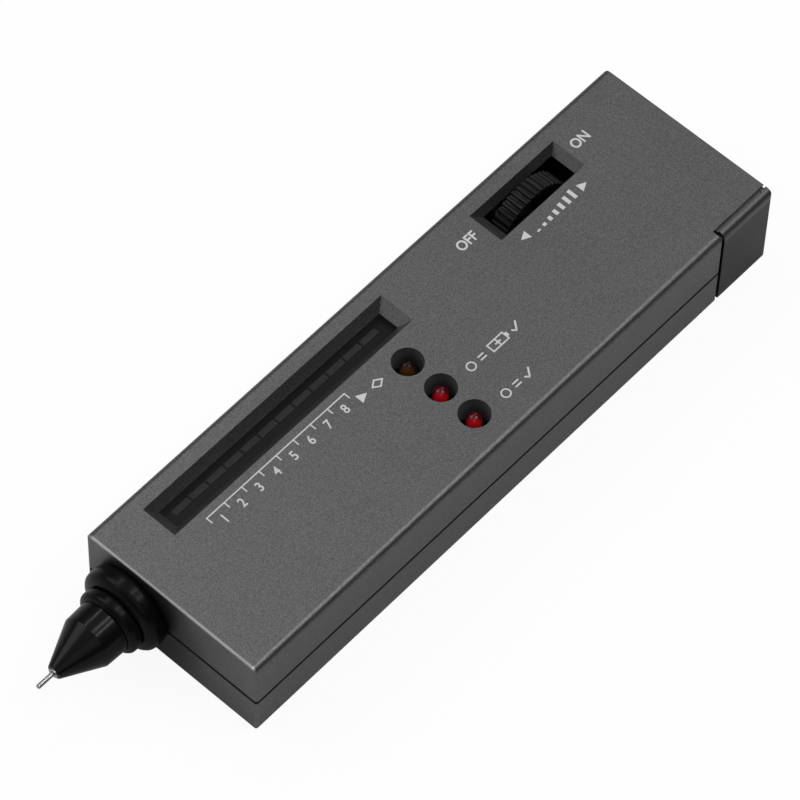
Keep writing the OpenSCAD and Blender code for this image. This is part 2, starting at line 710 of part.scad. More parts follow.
module circuit_board() color("darkgreen") difference() {
    union() {
        box([board_x0, -board_y1, board_z0], [board_x1, board_y1, board_z1]);
        box([board_x1 - cut, strip_y0, board_z0], [strip_x1, board_y1, board_z1]);
    }
    box([board_x0 - cut, notch_y, board_z0 - cut], [notch_x, case_w, board_z1 + cut]);
    box([board_x0 - cut, -case_w, board_z0 - cut],
        [front_boss_x + boss_clear, boss_clear - boss_y, board_z1 + cut]);
    at_each(CASE_BOSSES, board_z0 - cut) cylinder(r = boss_clear, h = board_t + 2*cut);
    at_each(BOARD_POSTS, board_z0 - cut) cylinder(r = post_screw_r + hole_gap, h = board_t + 2*cut);
}

// A chip on two rows of bent legs
module chip(pairs) {
    l = pairs*chip_pitch;
    color([0.12, 0.12, 0.12]) translate([-l/2, -chip_w/2, chip_leg_h]) cube([l, chip_w, chip_t]);
    color("silver") for (i = [0:pairs - 1], s = [-1, 1])
        translate([(i - (pairs - 1)/2)*chip_pitch - chip_leg_w/2,
            s*(chip_w + chip_leg_t)/2 - s*fit_gap - chip_leg_t/2, 0])
            cube([chip_leg_w, chip_leg_t, chip_leg_h + chip_t/2]);
}
module bar_driver_chip() on_board(driver_front, driver_side) chip(driver_pairs);
module amplifier_chip() on_board(amplifier_front, amplifier_side) chip(amplifier_pairs);

module buzzer() color([0.1, 0.1, 0.1]) on_board(buzzer_front, buzzer_side) difference() {
    cylinder(r = buzzer_r, h = buzzer_h);
    translate([0, 0, buzzer_h - buzzer_hole_r]) cylinder(r = buzzer_hole_r, h = 2*buzzer_hole_r);
    translate([0, 0, buzzer_h - buzzer_ring_d]) difference() {
        cylinder(r = buzzer_ring[1], h = cut);
        cylinder(r = buzzer_ring[0], h = 3*cut, center = true);
    }
}

module filter_capacitor() color("navy") on_board(capacitor_front, capacitor_side) rotate_extrude() {
    r = capacitor_r;
    e = capacitor_edge;
    polygon([[0, 0], [r - e, 0], [r, e], [r, capacitor_bead - e], [r - e, capacitor_bead],
        [r, capacitor_bead + e], [r, capacitor_h - e], [r - e, capacitor_h], [0, capacitor_h]]);
}

module trimmer() color("royalblue") on_board(trimmer_front, trimmer_side) difference() {
    union() {
        box([-trimmer_w/2, -trimmer_w/2, 0], [trimmer_w/2, trimmer_w/2, trimmer_h]);
        cylinder(r = trimmer_dial_r, h = trimmer_h + trimmer_dial_h);
    }
    box([-trimmer_dial_r*0.8, -drive_w/2, trimmer_h + fit_gap],
        [trimmer_dial_r*0.8, drive_w/2, 2*trimmer_h]);
}

// Battery and its connector

// Places a terminal: its height runs forwards from the battery's end
module at_terminal(s) translate([bat_front, bat_mid_y + s*terminal_pitch/2, bat_mid_z])
    rotate([0, -90, 0]) children();

module cup(h) difference() {
    cylinder(r = cup_r, h = h);
    translate([0, 0, cup_wall/2]) cylinder(r = cup_r - cup_wall, h = h);
}

module battery() color([0.55, 0.5, 0.4]) {
    rounded_bar(bat_front, bat_rear, bat_y0, bat_y1, bat_z, bat_z + bat_h, bat_r);
    at_terminal(-1) cylinder(r = stud_r, h = terminal_h);
    at_terminal(1) cup(terminal_h);
}

module battery_snap() color([0.08, 0.08, 0.08]) {
    rounded_bar(snap_front, snap_rear, bat_y0 + snap_in, bat_y1 - snap_in, bat_z + snap_in,
        bat_z + bat_h - snap_in, bat_r);
    at_terminal(-1) translate([0, 0, fit_gap]) difference() {
        cylinder(r = cup_r, h = terminal_h + fit_gap);
        translate([0, 0, -cut]) cylinder(r = cup_r - cup_wall, h = terminal_h + cut);
    }
    at_terminal(1) translate([0, 0, terminal_h/2]) cylinder(r = stud_r, h = terminal_h/2 + 2*fit_gap);
}

// Each battery lead leaves the connector, drops and ends on the board
module battery_lead(y, tint) color(tint) lead([[snap_front, y, bat_mid_z + lead_bend],
    [snap_front - lead_bend, y, bat_mid_z + lead_bend], [snap_front - 2*lead_bend, y, board_z1 + lead_bend],
    [snap_front - 2.1*lead_bend, y, board_z1]], lead_r);
module battery_lead_red() battery_lead(bat_mid_y + terminal_pitch/4, "red");
module battery_lead_black() battery_lead(bat_mid_y + terminal_pitch/2, [0.06, 0.06, 0.06]);

// Probe

module probe_collar() color([0.06, 0.06, 0.06]) on_probe() rotate_extrude() difference() {
    union() {
        ring_section(ring1_r, ring1_bulge, 0, ring1_l);
        ring_section(ring2_r, ring2_bulge, ring1_l + ring_notch, collar_l);
        translate([0, fit_gap]) square([ring1_r - ring1_bulge, ring1_l - 2*fit_gap]);
        translate([0, ring1_l - fit_gap]) square([notch_r, ring_notch + 2*fit_gap]);
        translate([0, ring1_l + ring_notch]) square([ring2_r - ring2_bulge, ring2_l]);
        translate([0, -wall - fit_gap]) square([neck_r - fit_gap, wall + 2*fit_gap]);
        translate([0, -wall - collar_back_t]) square([back_r, collar_back_t]);
    }
    translate([-cut, -ring1_r]) square([holder_r + cut, 3*ring1_r]);
}

module nose_cone() color([0.05, 0.05, 0.05]) on_probe() rotate_extrude() polygon([
    [holder_r, collar_l], [cone_root_r, collar_l], [cone_break_r, cone_break],
    [cone_tip_r, cone_end - cone_rim], [cone_tip_r - cone_rim, cone_end], [bush_r, cone_end],
    [bush_r, bush_d], [heater_r + cone_step, bush_d], [cone_break_r - cone_wall, cone_break - cone_step],
    [holder_r, cone_break - cone_step]]);

module tip_bush() color("silver") on_probe() translate([0, 0, bush_d]) difference() {
    cylinder(r = bush_r, h = cone_end + bush_out - bush_d);
    translate([0, 0, -cut]) cylinder(r = needle_r + needle_gap, h = cone_end);
}

module probe_needle() color("silver") on_probe() rotate_extrude() polygon([
    [0, plunger_d - plunger_t], [plunger_r, plunger_d - plunger_t], [plunger_r, plunger_d],
    [needle_r, plunger_d], [needle_r, needle_tip - needle_point], [needle_point_r, needle_tip],
    [0, needle_tip]]);

module probe_heater() color("ivory") on_probe() translate([0, 0, heater_d]) difference() {
    cylinder(r = heater_r, h = heater_l);
    translate([0, 0, -cut]) cylinder(r = needle_r, h = heater_l + 2*cut);
}

module probe_holder() color([0.5, 0.42, 0.25]) on_probe() rotate_extrude() polygon([
    [bore_r, holder_back], [holder_r, holder_back], [holder_r, -wall - collar_back_t - holder_flange_t],
    [holder_flange_r, -wall - collar_back_t - holder_flange_t], [holder_flange_r, -wall - collar_back_t],
    [holder_r, -wall - collar_back_t], [holder_r, holder_front], [stop_r, holder_front],
    [stop_r, stop_d], [bore_r, stop_d]]);

spring_d0 = plug_front + spring_wire_r + needle_gap;
spring_d1 = plunger_d - plunger_t - spring_wire_r - needle_gap;
spring_steps = 8*spring_turns;
SPRING_PATH = [for (i = [0:spring_steps]) let (t = i/spring_steps, a = 360*spring_turns*t)
    [spring_r*cos(a), spring_r*sin(a), spring_d0 + (spring_d1 - spring_d0)*t]];
module probe_spring() color("silver") on_probe()
    tube(SPRING_PATH, spring_wire_r, 6, function (p) [p[0], p[1], 0]);

module probe_plug() color([0.3, 0.12, 0.08]) on_probe() {
    translate([0, 0, holder_back]) cylinder(r = bore_r, h = plug_front - holder_back);
    for (s = [-1, 1]) translate([0, s*plug_pin_pitch/2, holder_back - plug_pin_l])
        cylinder(r = plug_pin_r, h = plug_pin_l + fit_gap);
}

// Each probe lead runs from a pin of the plug down to the board
module probe_lead(s) color([0.7, 0.7, 0.7]) lead([
    [front_x - holder_back + plug_pin_l, probe_y + s*plug_pin_pitch/2, probe_z],
    [front_x - holder_back + 2*plug_pin_l, probe_y + s*plug_pin_pitch/2, probe_z],
    [notch_x + probe_lead_reach, probe_y + s*plug_pin_pitch/2, board_z1 + probe_lead_reach/2],
    [notch_x + 1.25*probe_lead_reach, probe_y + s*plug_pin_pitch/2, board_z1]], plug_pin_r);
module probe_lead_front() probe_lead(-1);
module probe_lead_rear() probe_lead(1);

// Screws

module case_screws() color("silver") at_each(CASE_BOSSES, screw_recess) {
    cylinder(r = screw_r, h = boss_seat - screw_recess + pilot_l - cut);
    translate([0, 0, -screw_head_t]) difference() {
        cylinder(r = screw_head_r, h = screw_head_t);
        cross_slot(screw_head_r, screw_head_t/2);
    }
}

module board_screws() color("silver") at_each(BOARD_POSTS, board_z1) {
    translate([0, 0, post_head_t/2 - board_t - post_depth])
        cylinder(r = post_screw_r, h = board_t + post_depth);
    difference() {
        cylinder(r = post_head_r, h = post_head_t);
        translate([0, 0, post_head_t]) mirror([0, 0, 1]) cross_slot(post_head_r, post_head_t/2);
    }
}

upper_case();
lower_case();
battery_cover();
display_window();
alert_lamp();
battery_lamp();
ready_lamp();
volume_wheel();
wheel_screw();
volume_shaft();
potentiometer();
circuit_board();
bar_driver_chip();
amplifier_chip();
buzzer();
filter_capacitor();
trimmer();
battery();
battery_snap();
battery_lead_red();
battery_lead_black();
probe_collar();
nose_cone();
tip_bush();
probe_needle();
probe_heater();
probe_holder();
probe_spring();
probe_plug();
probe_lead_front();
probe_lead_rear();
case_screws();
board_screws();
bar_holder();
cover_seal();
for (i = [0:bar_count - 1]) bar_lamp(i);
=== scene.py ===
"""Looks of the handheld gem tester: eased shells, turned nose, print, finishes, light and camera."""

import json
import math

import bmesh
import bpy
from mathutils import Matrix, Vector


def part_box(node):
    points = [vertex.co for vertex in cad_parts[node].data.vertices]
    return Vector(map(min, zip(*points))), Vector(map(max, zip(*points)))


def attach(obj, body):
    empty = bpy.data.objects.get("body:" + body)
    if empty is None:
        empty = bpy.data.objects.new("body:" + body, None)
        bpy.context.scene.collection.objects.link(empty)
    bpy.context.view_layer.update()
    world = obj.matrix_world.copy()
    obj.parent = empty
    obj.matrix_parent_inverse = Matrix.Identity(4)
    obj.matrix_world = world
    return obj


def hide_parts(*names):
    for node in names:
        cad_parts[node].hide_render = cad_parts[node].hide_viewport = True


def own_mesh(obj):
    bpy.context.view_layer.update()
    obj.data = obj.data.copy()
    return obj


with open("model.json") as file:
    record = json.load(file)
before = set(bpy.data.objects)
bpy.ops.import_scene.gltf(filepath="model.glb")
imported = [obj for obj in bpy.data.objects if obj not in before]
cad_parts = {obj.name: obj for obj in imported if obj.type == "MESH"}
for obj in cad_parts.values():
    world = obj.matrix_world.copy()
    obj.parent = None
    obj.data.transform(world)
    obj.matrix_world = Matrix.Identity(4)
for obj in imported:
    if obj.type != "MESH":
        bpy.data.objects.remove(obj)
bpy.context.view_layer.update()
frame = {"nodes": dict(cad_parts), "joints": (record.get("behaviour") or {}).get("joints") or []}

MM = 0.001
scene = bpy.context.scene
scene.view_settings.view_transform = "Standard"


# Sizes taken from the frame, in millimetres
def extent(node):
    """Lowest and highest corner of a CAD node."""
    low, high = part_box(node)
    return low / MM, high / MM


def middle(node):
    """Centre of a CAD node's box."""
    low, high = extent(node)
    return (low + high) / 2


half_l, half_w, case_h = extent("upper_case")[1]
lamp_c = middle("ready_lamp")
lamp_pitch = middle("battery_lamp").y - lamp_c.y
lamp_crown = extent("ready_lamp")[1].z
wheel_c = middle("volume_wheel")
wheel_r = extent("volume_wheel")[1].x - wheel_c.x
probe_c = Vector((-half_l, middle("nose_cone").y, middle("nose_cone").z))
battery_front, battery_rear = extent("battery")[0].x, extent("battery")[1].x

# Sizes that no box of the frame gives
top_r = 1.45
# Heights of a near-black band of painted shade along the parting groove
groove_shade_low, groove_shade_high = 8.42, 9.38
end_wall, side_wall, floor_wall = 1.5, 1.6, 1.0
recess_side, recess_depth, paint_depth = 7.5, 1.8, 0.2


# Shader nodes
class Wire:
    """An output socket that can be added, scaled and compared."""

    def __init__(self, graph, socket):
        self.graph, self.socket = graph, socket

    def math(self, operation, *values):
        return self.graph.node("Math", {"operation": operation}, dict(enumerate(values)))

    def __add__(self, other):
        return self.math("ADD", self, other)

    def __sub__(self, other):
        return self.math("SUBTRACT", self, other)

    def __rsub__(self, other):
        return self.math("SUBTRACT", other, self)

    def __mul__(self, other):
        return self.math("MULTIPLY", self, other)

    def __truediv__(self, other):
        return self.math("DIVIDE", self, other)

    def __gt__(self, other):
        return self.math("GREATER_THAN", self, other)

    def __lt__(self, other):
        return self.math("LESS_THAN", self, other)

    def most(self, other):
        return self.math("MAXIMUM", self, other)

    def least(self, other):
        return self.math("MINIMUM", self, other)

    def size(self):
        return self.math("ABSOLUTE", self)

    def fraction(self):
        return self.math("FRACT", self)

    def ramp(self, low, high):
        """0 at low, 1 at high, and level beyond them."""
        sockets = {"Value": self, "From Min": low, "From Max": high}
        return self.graph.node("MapRange", {"clamp": True}, sockets)

    __radd__ = __add__
    __rmul__ = __mul__


class Graph:
    """A node tree that grows by one generic method."""

    def __init__(self, owner):
        owner.use_nodes = True
        self.tree = owner.node_tree

    def feed(self, node, sockets):
        """Links or sets a node's input sockets."""
        for key, value in sockets.items():
            if isinstance(value, Wire):
                self.tree.links.new(value.socket, node.inputs[key])
            else:
                node.inputs[key].default_value = value

    def node(self, kind, settings, sockets, out=0):
        """Adds a node of a kind and returns one of its outputs."""
        made = self.tree.nodes.new("ShaderNode" + kind)
        for key, value in settings.items():
            setattr(made, key, value)
        self.feed(made, sockets)
        return Wire(self, made.outputs[out])

    def split(self, vector):
        """X, Y and Z of a vector."""
        outputs = self.node("SeparateXYZ", {}, {0: vector}).socket.node.outputs
        return [Wire(self, outputs[i]) for i in range(3)]

    def place(self):
        """Object coordinates, in metres."""
        return self.node("TexCoord", {}, {}, "Object")

    def axes(self):
        """X, Y and Z of a point, in millimetres."""
        return [part / MM for part in self.split(self.place())]

    def noise(self, size, detail=2.0, rough=0.5, stretch=(1, 1, 1)):
        """Cloudy noise from 0 to 1 with features of about this size in millimetres."""
        scaled = self.node("VectorMath", {"operation": "MULTIPLY"}, {0: self.place(), 1: stretch})
        sockets = {"Vector": scaled, "Scale": 1 / (size * MM), "Detail": detail, "Roughness": rough}
        return self.node("TexNoise", {}, sockets, "Fac")

    def cells(self, size):
        """A random value from 0 to 1 for each cell of about this size in millimetres."""
        sockets = {"Vector": self.place(), "Scale": 1 / (size * MM)}
        colour = self.node("TexVoronoi", {}, sockets, "Color")
        return self.node("SeparateColor", {}, {0: colour})

    def mix(self, factor, first, second):
        """A colour between two others."""
        return self.node("Mix", {"data_type": "RGBA"}, {0: factor, 6: first, 7: second}, 2)

    def bump(self, height, depth):
        """Normal of a surface whose height goes from 0 to depth in millimetres."""
        return self.node("Bump", {}, {"Height": height, "Distance": depth * MM, "Strength": 1.0})


def rgb(red, green=None, blue=None):
    """A colour, or a grey from one value."""
    return (red, red if green is None else green, red if blue is None else blue, 1.0)


def material(name, build, **constants):
    """A principled material with constant sockets, _ for a space, and varying ones from build."""
    made = bpy.data.materials.new(name)
    graph = Graph(made)
    shader = graph.tree.nodes["Principled BSDF"]
    graph.feed(shader, {key.replace("_", " "): value for key, value in constants.items()})
    graph.feed(shader, build(graph))
    return made


# Finishes
def grained(dark, light, size, rough, spread, depth, speck=0.5):
    """Fine moulded or painted grain: colour, roughness and height vary together."""

    def build(graph):
        fine = graph.noise(size, 1.5, 0.6)
        tone = (fine * (1 - speck) + graph.cells(size * 0.8) * speck).ramp(0.25, 0.75)
        broad = graph.noise(size * 120, 2.0)
        return {
            "Base Color": graph.mix(tone * 0.85 + broad * 0.15, dark, light),
            "Roughness": rough + (broad - 0.5) * spread,
            "Normal": graph.bump(fine, depth),
        }

    return build


def soft(tint, size=0.4, rough=0.5):
    """Plain moulded plastic or insulation of one tint with a faint cloud."""
    deep = rgb(*[c * 0.75 for c in tint[:3]])
    return grained(deep, tint, size, rough, 0.15, 0.004, 0.2)


def case_finish(graph):
    """Metallic paint over bare plastic, with a painted highlight along the front top edge, a painted
    shadow beside the collar and painted shade along the parting groove.
    """
    x, y, z = graph.axes()
    behind_front, below_top = x + half_l, case_h - z
    inside = (x.size() < half_l - end_wall) * (y.size() < half_w - side_wall) * (z > floor_wall)
    in_recess = (below_top < recess_depth) * (y > recess_side)
    bare = inside * (below_top > paint_depth) * (1.0 - in_recess)
    # Painted shade: the parting groove and a strip beside it are near-black and not metallic
    painted_groove_shade = (z > groove_shade_low) * (z < groove_shade_high)
    # Painted highlight: lighter paint along the front top edge stands in for its bright edge line
    painted_edge_highlight = behind_front.ramp(0.55, 0.3) * below_top.ramp(0.6, 0.35)
    # Painted shadow: darker paint on the front face round the collar, strongest on its -Y side
    beside, above = y - (probe_c.y - 3.5), z - probe_c.z
    painted_collar_shadow = (beside * beside + above * above).ramp(200.0, 60.0) * behind_front.ramp(0.3, 0.1) * 0.6
    inputs = grained(rgb(0.075), rgb(0.15), 0.2, 0.42, 0.05, 0.006)(graph)
    paint = graph.mix(painted_collar_shadow, graph.mix(painted_edge_highlight, inputs["Base Color"], rgb(0.3)), rgb(0.0))
    inputs["Base Color"] = graph.mix(painted_groove_shade, graph.mix(bare, paint, rgb(0.1)), rgb(0.012))
    inputs["Metallic"] = 0.9 - bare.most(painted_groove_shade) * 0.9
    return inputs


def cover_finish(graph):
    """The same paint, with painted shade darkening the flat faces and a painted highlight lightening the
    rounded top edge.
    """
    painted_highlight_share = (case_h - graph.axes()[2]).ramp(2.6, 1.4)
    inputs = grained(rgb(0.018), rgb(0.022), 0.25, 0.42, 0.05, 0.003)(graph)
    # Lighter tone of the painted highlight on the rounded top edge
    light = graph.mix(graph.noise(0.2, 1.5, 0.6), rgb(0.06), rgb(0.12))
    inputs["Base Color"] = graph.mix(painted_highlight_share, inputs["Base Color"], light)
    return inputs


def turned_metal(dark, light, pitch, rough, spread):
    """Metal with fine rings round the X axis."""

    def build(graph):
        rings = graph.noise(pitch, 2.0, 0.6, (1, 0.02, 0.02))
        smudge = graph.noise(1.5, 3.0)
        return {
            "Base Color": graph.mix(rings * 0.6 + smudge * 0.4, dark, light),
            "Roughness": rough + smudge * spread,
        }

    return build


def lamp_painted_light(dark, light, painted_glow):
    """A tinted dome with painted light: a lit side toward the user that also glows by emission, and
    painted shade at its foot and far side.
    """

    def build(graph):
        x, y, z = graph.axes()
        along = x - lamp_c.x
        across = (((y - lamp_c.y) / lamp_pitch + 0.5).fraction() - 0.5) * lamp_pitch
        # Painted shade towards the foot of the dome
        foot = (lamp_crown - z).ramp(2.6, 2.1)
        # Painted light on the side that faces the user
        painted_lit_side = (along * -0.76 + across * -0.65).ramp(0.3, 1.2) * foot
        cloud = graph.noise(0.6, 1.0)
        return {
            "Base Color": graph.mix(painted_lit_side * 0.85 + cloud * 0.15, dark, light),
            "Roughness": 0.1 + cloud * 0.05,
            # Emission paints a glow on the lit side
            "Emission Color": graph.mix(painted_lit_side, rgb(0.0), painted_glow),
        }

    return build


def board_finish(graph):
    """Green lacquer over raised copper lanes."""
    x, y, _ = graph.axes()
    lengthwise = (x * 0.55 + graph.noise(6.0) * 3.0).fraction() > 0.72
    crosswise = (y * 0.35 + graph.noise(9.0) * 2.0).fraction() > 0.3
    lanes = lengthwise.least(crosswise)
    weave = graph.noise(0.5, 2.0)
    green = graph.mix(lanes * 0.6 + weave * 0.25, rgb(0.012, 0.06, 0.024), rgb(0.05, 0.17, 0.06))
    return {
        "Base Color": green,
        "Roughness": 0.28 + weave * 0.12,
        "Normal": graph.bump(lanes, 0.03),
    }


def battery_finish(graph):
    """A dark jacket with one gold band, between bare metal ends."""
    x = graph.axes()[0]
    from_front = x - battery_front
    ends = (battery_rear - x < 0.55).most(from_front < 3.5)
    band = (from_front > 9.3) * (from_front < 11.5)
    smudge = graph.noise(4.0, 3.0)
    jacket = graph.mix(band, rgb(0.05, 0.052, 0.055), rgb(0.42, 0.3, 0.1))
    worn = graph.mix(smudge * 0.3, jacket, rgb(0.2))
    return {
        "Base Color": graph.mix(ends, worn, rgb(0.55, 0.54, 0.52)),
        "Metallic": ends * 0.9 + band * 0.5 * (1.0 - ends),
        "Roughness": 0.3 + smudge * 0.15,
    }


def window_finish(graph):
    """Smoked sheet with a faint haze."""
    haze = graph.noise(7.0, 3.0)
    return {
        "Base Color": graph.mix(haze, rgb(0.004, 0.004, 0.004), rgb(0.008, 0.0075, 0.0075)),
        "Roughness": 0.22 + haze * 0.1,
    }


def print_finish(graph):
    """White ink that covers a little unevenly."""
    ink = graph.noise(0.25, 2.0)
    return {"Base Color": graph.mix(ink, rgb(0.5), rgb(0.66)), "Roughness": 0.5 + ink * 0.1}


steel = turned_metal(rgb(0.5, 0.49, 0.48), rgb(0.8, 0.79, 0.77), 0.05, 0.08, 0.06)
polished = turned_metal(rgb(0.3, 0.295, 0.29), rgb(0.36, 0.355, 0.35), 0.4, 0.32, 0.04)
brass = turned_metal(rgb(0.5, 0.36, 0.15), rgb(0.78, 0.6, 0.3), 0.06, 0.22, 0.15)
# Lamp domes with painted light and a painted glow
amber = lamp_painted_light(rgb(0.006, 0.004, 0.003), rgb(0.045, 0.016, 0.005), rgb(0.014, 0.005, 0.001))
red = lamp_painted_light(rgb(0.03, 0.002, 0.004), rgb(0.3, 0.003, 0.006), rgb(0.11, 0.001, 0.002))
all_metal = {"Metallic": 1.0}

recipes = {
    "case_grey": (case_finish, {}),
    "cover_grey": (cover_finish, {"Metallic": 0.9}),
    "window_smoke": (window_finish, {"Alpha": 0.4, "Specular_IOR_Level": 0.12}),
    "bar_lens": (soft(rgb(0.2, 0.19, 0.18)), {"Specular_IOR_Level": 0.3}),
    # Emission of the lamps carries their painted glow
    "lamp_amber": (amber, {"Emission_Strength": 1.0, "Specular_IOR_Level": 0.1}),
    "lamp_red": (red, {"Emission_Strength": 1.0, "Specular_IOR_Level": 0.25}),
    "wheel_black": (soft(rgb(0.005), 0.3, 0.36), {"Specular_IOR_Level": 0.17}),
    "collar_black": (soft(rgb(0.005), 0.5, 0.26), {"Specular_IOR_Level": 0.07}),
    "cone_black": (soft(rgb(0.006), 0.5, 0.2), {"Specular_IOR_Level": 0.11}),
    "needle_steel": (polished, all_metal),
    "holder_brass": (brass, all_metal),
    "heater_white": (soft(rgb(0.8, 0.78, 0.72)), {}),
    "spring_steel": (steel, all_metal),
    "plug_brown": (soft(rgb(0.1, 0.04, 0.025)), {}),
    "lead_grey": (soft(rgb(0.45)), {}),
    "lead_red": (soft(rgb(0.45, 0.02, 0.02)), {}),
    "lead_black": (soft(rgb(0.02)), {}),
    "screw_steel": (steel, all_metal),
    "shaft_brass": (brass, all_metal),
    "control_brown": (soft(rgb(0.03, 0.027, 0.025)), {}),
    "board_green": (board_finish, {}),
    "chip_black": (soft(rgb(0.02)), {}),
    "capacitor_blue": (soft(rgb(0.015, 0.025, 0.12), 0.4, 0.3), {}),
    "trimmer_blue": (soft(rgb(0.03, 0.1, 0.4), 0.4, 0.35), {}),
    "battery_jacket": (battery_finish, {}),
    "snap_black": (soft(rgb(0.025)), {}),
    "print_ink": (print_finish, {"Specular_IOR_Level": 0.3}),
}
finishes = {name: material(name, build, **fixed) for name, (build, fixed) in recipes.items()}

node_slots = {
    "battery_cover": "cover_grey",
    "display_window": "window_smoke",
    "alert_lamp": "lamp_amber",
    "battery_lamp": "lamp_red",
    "ready_lamp": "lamp_red",
    "volume_wheel": "wheel_black",
    "wheel_screw": "screw_steel",
    "volume_shaft": "shaft_brass",
    "potentiometer": "control_brown",
    "circuit_board": "board_green",
    "bar_holder": "chip_black",
    "bar_driver_chip": "chip_black",
    "amplifier_chip": "chip_black",
    "buzzer": "chip_black",
    "filter_capacitor": "capacitor_blue",
    "trimmer": "trimmer_blue",
    "battery": "battery_jacket",
    "battery_snap": "snap_black",
    "cover_seal": "snap_black",
    "battery_lead_red": "lead_red",
    "battery_lead_black": "lead_black",
    "probe_collar": "collar_black",
    "nose_cone": "cone_black",
    "tip_bush": "needle_steel",
    "probe_needle": "needle_steel",
    "probe_heater": "heater_white",
    "probe_holder": "holder_brass",
    "probe_spring": "spring_steel",
    "probe_plug": "plug_brown",
    "probe_lead_front": "lead_grey",
    "probe_lead_rear": "lead_grey",
    "case_screws": "screw_steel",
    "board_screws": "screw_steel",
}
for name, node in frame["nodes"].items():
    fallback = "bar_lens" if name.startswith("bar_lamp") else "case_grey"
    node.data.materials.clear()
    node.data.materials.append(finishes[node_slots.get(name, fallback)])


# Ways to make a piece
def piece(work, name, body, finish):
    """Makes a bmesh drawn in millimetres into a piece that rides on a body."""
    bmesh.ops.scale(work, vec=(MM, MM, MM), verts=work.verts)
    mesh = bpy.data.meshes.new(name)
    work.to_mesh(mesh)
    work.free()
    if "custom_normal" in mesh.attributes:
        mesh.attributes.remove(mesh.attributes["custom_normal"])
    mesh.shade_smooth()
    mesh.set_sharp_from_angle(angle=math.radians(32))
    mesh.materials.clear()
    mesh.materials.append(finishes[finish])
    made = bpy.data.objects.new(name, mesh)
    scene.collection.objects.link(made)
    even = made.modifiers.new("even_normals", "WEIGHTED_NORMAL")
    even.keep_sharp, even.weight = True, 100
    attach(made, body)
    return made


def stand_in(work, name, body, node):
    """A piece shown in place of a CAD node, with that node's finish."""
    slot = node_slots.get(node, "case_grey")
    made = piece(work, name, body, slot)
    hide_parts(node)
    return made


def round_over(work, edges, width, segments):
    """Rounds some edges by a width."""
    bmesh.ops.bevel(
        work, geom=edges, offset=width, offset_type="OFFSET", segments=segments, profile=0.5,
        affect="EDGES", clamp_overlap=True, material=-1,
    )


def eased(node, name, body, *rounds):
    """A stand-in copied from its CAD node, with edges rounded by pairs of a width and a test."""
    work = bmesh.new()
    work.from_mesh(frame["nodes"][node].data)
    bmesh.ops.scale(work, vec=(1 / MM, 1 / MM, 1 / MM), verts=work.verts)
    bmesh.ops.remove_doubles(work, verts=work.verts, dist=0.002)
    bmesh.ops.dissolve_limit(
        work, angle_limit=math.radians(0.4), verts=work.verts, edges=work.edges
    )
    for width, chosen in rounds:
        edges = [
            e
            for e in work.edges
            if e.is_manifold
            and e.is_convex
            and e.calc_face_angle() > math.radians(30)
            and all(chosen(v.co) for v in e.verts)
        ]
        round_over(work, edges, width, 2)
    return stand_in(work, name, body, node)


def turned(profile, ease):
    """A solid turned about the probe's axis: pairs of a place ahead of the case and a radius."""
    work = bmesh.new()
    line = [work.verts.new(probe_c + Vector((-d, 0, r))) for d, r in profile]
    edges = [work.edges.new(pair) for pair in zip(line, line[1:])]
    bmesh.ops.spin(
        work, geom=line + edges, cent=probe_c, axis=(-1, 0, 0), angle=math.tau, steps=128, use_merge=True
    )
    bmesh.ops.remove_doubles(work, verts=work.verts, dist=0.001)
    bmesh.ops.recalc_face_normals(work, faces=work.faces)
    rims = [e for e in work.edges if e.is_manifold and e.calc_face_angle() > math.radians(20)]
    round_over(work, rims, ease, 3)
    return work


# Case, cover and thumbwheel
near = 0.02
front_round, skin_round, ridge_round = 0.4, 0.2, 0.08
ridge_depth = 0.5


def on_skin(p):
    """True on the outside of the case, its rounded long edges included."""
    side, top = abs(p.y) - (half_w - top_r), p.z - (case_h - top_r)
    bent = side > 0 and top > 0 and abs(math.hypot(side, top) - top_r) < near
    on_end = abs(abs(p.x) - half_l) < near
    on_side = abs(abs(p.y) - half_w) < near
    return bent or on_end or on_side or abs(p.z - case_h) < near or p.z < near


def on_front(p):
    """True on the rim of the front face."""
    return on_skin(p) and p.x < -half_l + near


def on_ridge(p):
    """True on the ridges of the thumbwheel."""
    return math.hypot(p.x - wheel_c.x, p.z - wheel_c.z) > wheel_r - ridge_depth


eased("upper_case", "upper_shell", "case", (front_round, on_front), (skin_round, on_skin))
eased("lower_case", "lower_shell", "case", (skin_round, on_skin))
eased("battery_cover", "end_cover", "cover", (skin_round, on_skin))
eased("volume_wheel", "thumbwheel", "wheel", (ridge_round, on_ridge))


# Collar, cone and spring of the probe
def bead(radius, crest, start, end, parts=8):
    """Profile of a drum with softly rounded rims: its radius and place at the crest, and its ends."""
    shares = [i / parts for i in range(parts + 1)]

    def side(d, low):
        return [(crest + (d - crest) * u, radius - (radius - low) * u**4) for u in shares]

    return side(*start)[:0:-1] + side(*end)


collar_profile = [
    (-1.2, 0), (-1.2, 6.2), (0, 6.2),
    *bead(8.6, 1.85, (0.0, 7.83), (4.3, 6.87)),
    (4.3, 5.9), (4.45, 5.9),
    *bead(6.65, 5.425, (4.45, 6.36), (7.0, 5.64)),
    (7.0, 0),
]
cone_profile = [
    (7.0, 0), (7.0, 5.46), (11.4, 5.3), (19.45, 1.46), (19.45, 0.95), (12.0, 0.95), (12.0, 0),
]
stand_in(turned(collar_profile, 0.06), "nose_collar", "case", "probe_collar")
stand_in(turned(cone_profile, 0.12), "nose_tip", "case", "nose_cone")

coil = eased("probe_spring", "return_spring", "case")
coil_front, coil_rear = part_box("probe_spring")
coil_length = coil_rear.x - coil_front.x
stroke_length = next(j for j in frame["joints"] if j["name"] == "needle_press")["range_m"][1]
(coil_length - stroke_length) / coil_length
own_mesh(coil)


# Ways to draw ink on the top face
def shifted(x, y):
    """A move across the top face."""
    return Matrix.Translation((x, y, 0))


